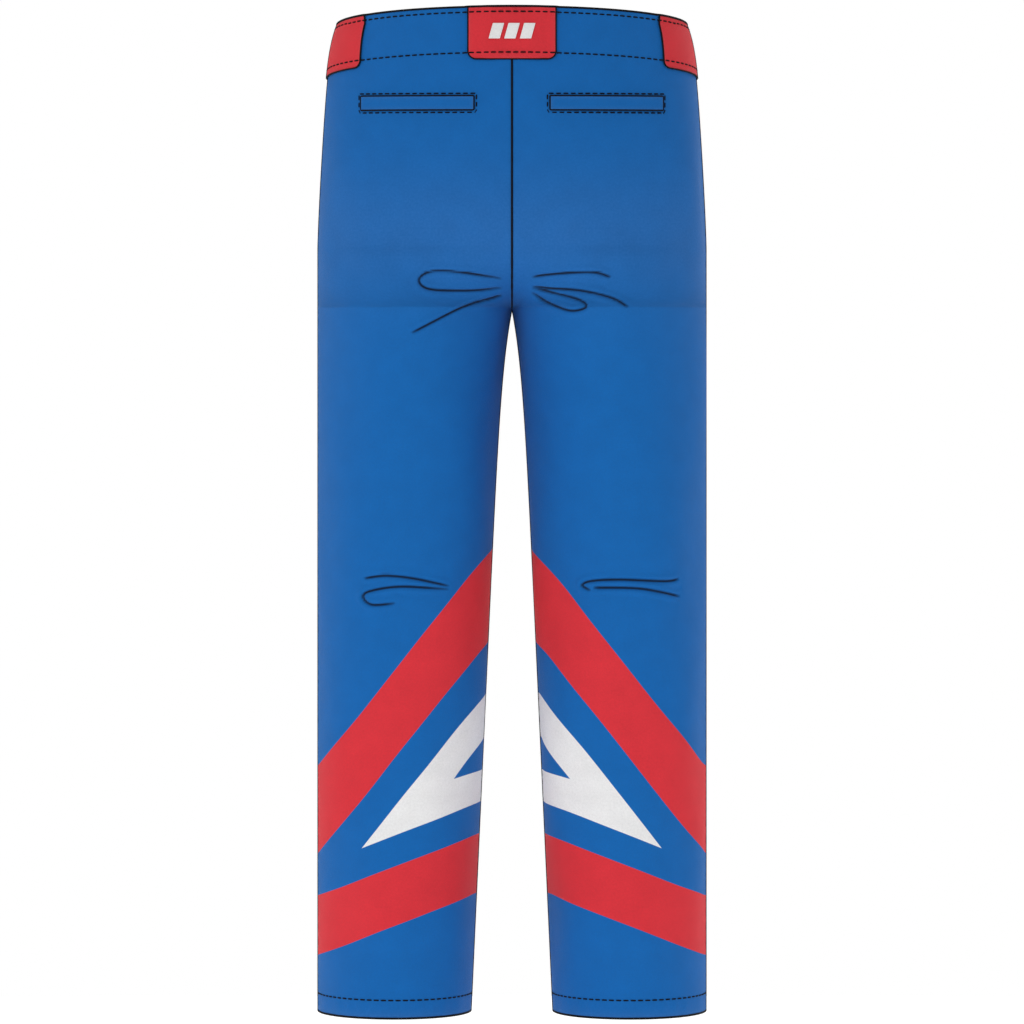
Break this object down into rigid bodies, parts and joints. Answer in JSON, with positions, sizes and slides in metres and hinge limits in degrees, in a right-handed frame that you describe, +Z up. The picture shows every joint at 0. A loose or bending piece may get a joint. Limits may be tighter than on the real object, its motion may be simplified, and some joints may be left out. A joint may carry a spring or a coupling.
{
  "type": "hockey pants",
  "caption": "Long roller or over-skate hockey pants with a zip fly, snap waist flap, back welt pockets and printed leg stripes.",
  "frame": {"origin": "centre of the waist opening, level with the top of the back waist edge", "axes": "+Z up along the wearer, +Y towards the wearer's front, +X to the wearer's right"},
  "size_m": [0.411, 0.2432, 1.0692],
  "materials": {
    "shell_cloth": "woven polyester, matt with a soft sheen, printed stripes",
    "trim_cloth": "woven polyester, matt",
    "pocket_lining": "plain taffeta",
    "interlining": "non-woven",
    "label": "satin tape, blank",
    "zip_tape": "herringbone tape",
    "zip_metal": "satin",
    "snap_metal": "bright"
  },
  "bodies": {
    "root": {"left_seat_back": "shell_cloth", "right_seat_back": "shell_cloth", "left_seat_front": "shell_cloth", "right_seat_front": "shell_cloth", "left_hip_fold_back": "shell_cloth", "right_hip_fold_back": "shell_cloth", "left_hip_fold_front": "shell_cloth", "right_hip_fold_front": "shell_cloth", "left_waist_facing": "shell_cloth", "right_waist_facing": "shell_cloth", "left_pocket_welt": "shell_cloth", "right_pocket_welt": "shell_cloth", "left_fly_facing": "shell_cloth", "right_fly_facing": "shell_cloth", "fly_shield": "shell_cloth", "left_side_tab": "trim_cloth", "right_side_tab": "trim_cloth", "center_back_tab": "trim_cloth", "closure_base": "trim_cloth", "left_pocket_bag": "pocket_lining", "right_pocket_bag": "pocket_lining", "left_waist_interlining": "interlining", "right_waist_interlining": "interlining", "care_label": "label", "left_zip_tape": "zip_tape", "right_zip_tape": "zip_tape", "left_zip_teeth": "zip_metal", "right_zip_teeth": "zip_metal", "left_zip_top_stop": "zip_metal", "right_zip_top_stop": "zip_metal", "zip_bottom_stop": "zip_metal", "snap_stud": "snap_metal"},
    "left_thigh": {"left_thigh_back": "shell_cloth", "left_thigh_front": "shell_cloth", "left_knee_fold_back": "shell_cloth", "left_knee_fold_front": "shell_cloth"},
    "right_thigh": {"right_thigh_back": "shell_cloth", "right_thigh_front": "shell_cloth", "right_knee_fold_back": "shell_cloth", "right_knee_fold_front": "shell_cloth"},
    "left_shin": {"left_shin_back": "shell_cloth", "left_shin_front": "shell_cloth", "left_hem_facing": "shell_cloth"},
    "right_shin": {"right_shin_back": "shell_cloth", "right_shin_front": "shell_cloth", "right_hem_facing": "shell_cloth"},
    "zip_slider": {"zip_slider": "zip_metal"},
    "zip_pull": {"zip_pull": "zip_metal"},
    "closure_flap": {"closure_flap": "trim_cloth", "snap_cap": "snap_metal", "snap_socket": "snap_metal"}
  },
  "joints": [
    {"name": "left_hip", "type": "hinge", "parent": "root", "child": "left_thigh", "pos_m": [-0.104, 0, -0.25], "axis": [1, 0, 0], "range_deg": [0, 90], "deforming": ["left_hip_fold_back", "left_hip_fold_front"]},
    {"name": "left_knee", "type": "hinge", "parent": "left_thigh", "child": "left_shin", "pos_m": [-0.1145, 0, -0.617], "axis": [-1, 0, 0], "range_deg": [0, 100], "deforming": ["left_knee_fold_back", "left_knee_fold_front"]},
    {"name": "right_hip", "type": "hinge", "parent": "root", "child": "right_thigh", "pos_m": [0.104, 0, -0.25], "axis": [1, 0, 0], "range_deg": [0, 90], "deforming": ["right_hip_fold_back", "right_hip_fold_front"]},
    {"name": "right_knee", "type": "hinge", "parent": "right_thigh", "child": "right_shin", "pos_m": [0.1145, 0, -0.617], "axis": [-1, 0, 0], "range_deg": [0, 100], "deforming": ["right_knee_fold_back", "right_knee_fold_front"]},
    {"name": "zip_slide", "type": "slide", "parent": "root", "child": "zip_slider", "axis": [0, 0.0905, -0.9959], "range_m": [0, 0.104], "deforming": ["left_zip_teeth", "right_zip_teeth"]},
    {"name": "zip_pull_hinge", "type": "hinge", "parent": "zip_slider", "child": "zip_pull", "pos_m": [0, 0.10855, -0.07726], "axis": [1, 0, 0], "range_deg": [0, 120]},
    {"name": "closure_hinge", "type": "hinge", "parent": "root", "child": "closure_flap", "pos_m": [0.024, 0.10629, -0.03479], "axis": [0, 0.0905, -0.9959], "range_deg": [0, 120]}
  ]
}
